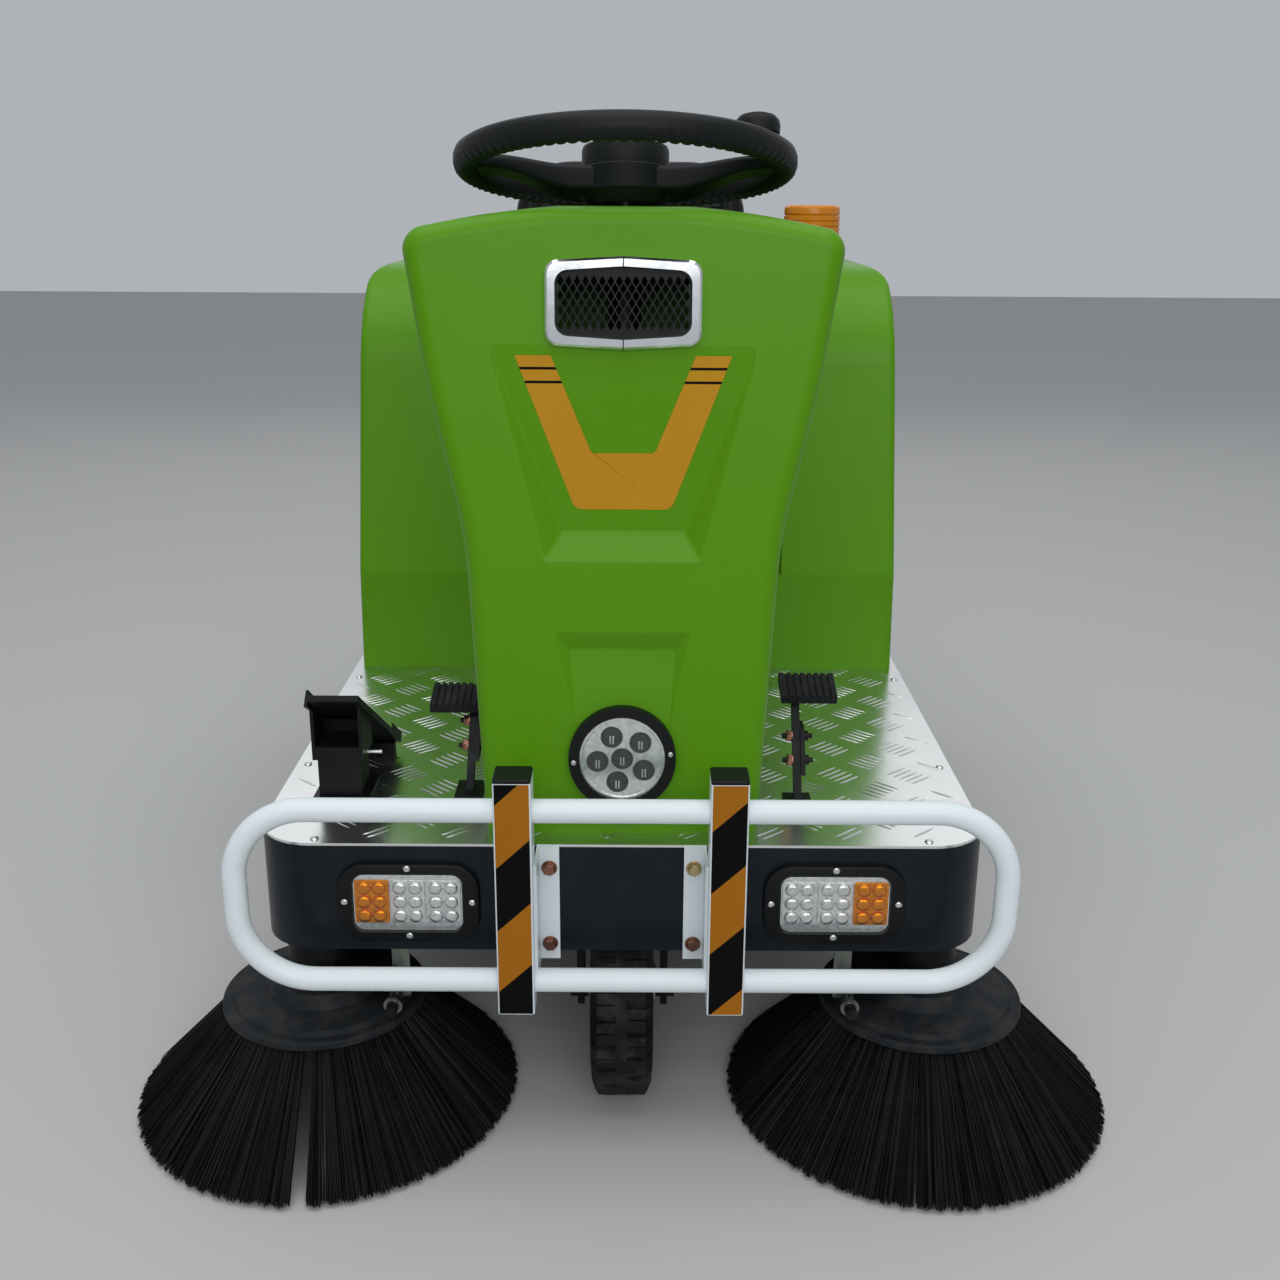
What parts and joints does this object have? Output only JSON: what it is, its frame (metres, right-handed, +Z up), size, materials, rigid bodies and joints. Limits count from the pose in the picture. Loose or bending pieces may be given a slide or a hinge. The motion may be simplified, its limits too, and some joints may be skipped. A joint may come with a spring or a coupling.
{
  "type": "compact ride-on road sweeper",
  "caption": "Compact three-wheeled ride-on road sweeper with two side brushes, a roller brush, a pull-out dust hopper and a bumper.",
  "frame": {"origin": "on the ground, at the middle of the machine's outline seen from above", "axes": "+X to the machine's left, +Y to its rear, +Z up; it faces -Y"},
  "size_m": [1.184, 1.4004, 1.1504],
  "materials": {
    "body_green": "moulded, satin gloss",
    "checker_plate": "bright rolled five-bar tread",
    "dark_sheet": "satin powder coat",
    "frame_black": "satin powder coat",
    "bumper_white": "gloss powder coat",
    "black_plastic": "moulded, fine grain",
    "wheel_black": "soft-touch foam skin",
    "clear_lens": "clear over bright reflectors",
    "amber_lens": "clear amber",
    "chrome": "bright plated",
    "mesh_black": "black expanded mesh",
    "steel": "zinc plated",
    "tyre": "new rubber",
    "rim_red": "gloss",
    "bristle_black": "nylon bristles",
    "disc_black": "moulded",
    "flap_rubber": "sheet rubber",
    "seat_vinyl": "black vinyl",
    "battery": "plain case"
  },
  "bodies": {
    "root": {"deck_plate": "checker_plate", "front_fascia": "dark_sheet", "chassis_frame": "frame_black", "bumper_frame": "bumper_white", "bumper_caps": "black_plastic", "lamp_bezels": "black_plastic", "lamp_lenses": "clear_lens", "indicator_lenses": "amber_lens", "console_shell": "body_green", "grille_frame": "chrome", "grille_mesh": "mesh_black", "work_lamp_housing": "black_plastic", "work_lamp_lens": "clear_lens", "dash_panel": "black_plastic", "steering_column": "black_plastic", "side_skirts": "dark_sheet", "brush_housing": "frame_black", "dust_flaps": "flap_rubber", "rear_body_shell": "body_green", "battery_block": "battery", "beacon_base": "black_plastic", "beacon_lens": "amber_lens", "brake_pedal": "steel", "flap_pedal": "steel", "accelerator_pedal": "black_plastic"},
    "steering": {"steering_wheel": "wheel_black", "steering_shaft": "steel", "front_fork": "frame_black"},
    "front_wheel": {"front_tyre": "tyre", "front_rim": "steel"},
    "rear_wheel_left": {"rear_tyre_left": "tyre", "rear_rim_left": "rim_red"},
    "rear_wheel_right": {"rear_tyre_right": "tyre", "rear_rim_right": "rim_red"},
    "brush_arm_left": {"side_brush_arm_left": "frame_black"},
    "brush_arm_right": {"side_brush_arm_right": "frame_black"},
    "side_brush_left": {"brush_disc_left": "disc_black", "brush_bristles_left": "bristle_black"},
    "side_brush_right": {"brush_disc_right": "disc_black", "brush_bristles_right": "bristle_black"},
    "roller": {"main_brush": "bristle_black"},
    "seat": {"seat_lid": "body_green", "seat_cushion": "seat_vinyl", "seat_back": "seat_vinyl"},
    "dust_hopper": {"hopper": "dark_sheet"}
  },
  "joints": [
    {"name": "steer", "type": "hinge", "parent": "root", "child": "steering", "pos_m": [0, -0.447, 0.37], "axis": [0, 0.1871, 0.9823], "range_deg": [-50, 50]},
    {"name": "front_roll", "type": "hinge", "parent": "steering", "child": "front_wheel", "pos_m": [0, -0.441, 0.13], "axis": [1, 0, 0], "continuous": true},
    {"name": "rear_roll_left", "type": "hinge", "parent": "root", "child": "rear_wheel_left", "pos_m": [0.347, 0.43, 0.15], "axis": [1, 0, 0], "continuous": true},
    {"name": "rear_roll_right", "type": "hinge", "parent": "root", "child": "rear_wheel_right", "pos_m": [-0.347, 0.43, 0.15], "axis": [1, 0, 0], "continuous": true},
    {"name": "arm_lift_left", "type": "hinge", "parent": "root", "child": "brush_arm_left", "pos_m": [0.3, -0.15, 0.215], "axis": [-1, 0, 0], "range_deg": [0, 8]},
    {"name": "arm_lift_right", "type": "hinge", "parent": "root", "child": "brush_arm_right", "pos_m": [-0.3, -0.15, 0.215], "axis": [-1, 0, 0], "range_deg": [0, 8]},
    {"name": "brush_spin_left", "type": "hinge", "parent": "brush_arm_left", "child": "side_brush_left", "pos_m": [0.358, -0.466, 0.14], "axis": [0, 0, 1], "continuous": true},
    {"name": "brush_spin_right", "type": "hinge", "parent": "brush_arm_right", "child": "side_brush_right", "pos_m": [-0.358, -0.466, 0.14], "axis": [0, 0, 1], "continuous": true},
    {"name": "roller_spin", "type": "hinge", "parent": "root", "child": "roller", "pos_m": [0, 0.07, 0.14], "axis": [1, 0, 0], "continuous": true},
    {"name": "seat_tip", "type": "hinge", "parent": "root", "child": "seat", "pos_m": [0, 0.095, 0.6473], "axis": [1, 0, 0], "range_deg": [0, 45]},
    {"name": "hopper_slide", "type": "slide", "parent": "root", "child": "dust_hopper", "axis": [0, 1, 0], "range_m": [0, 0.38]}
  ]
}
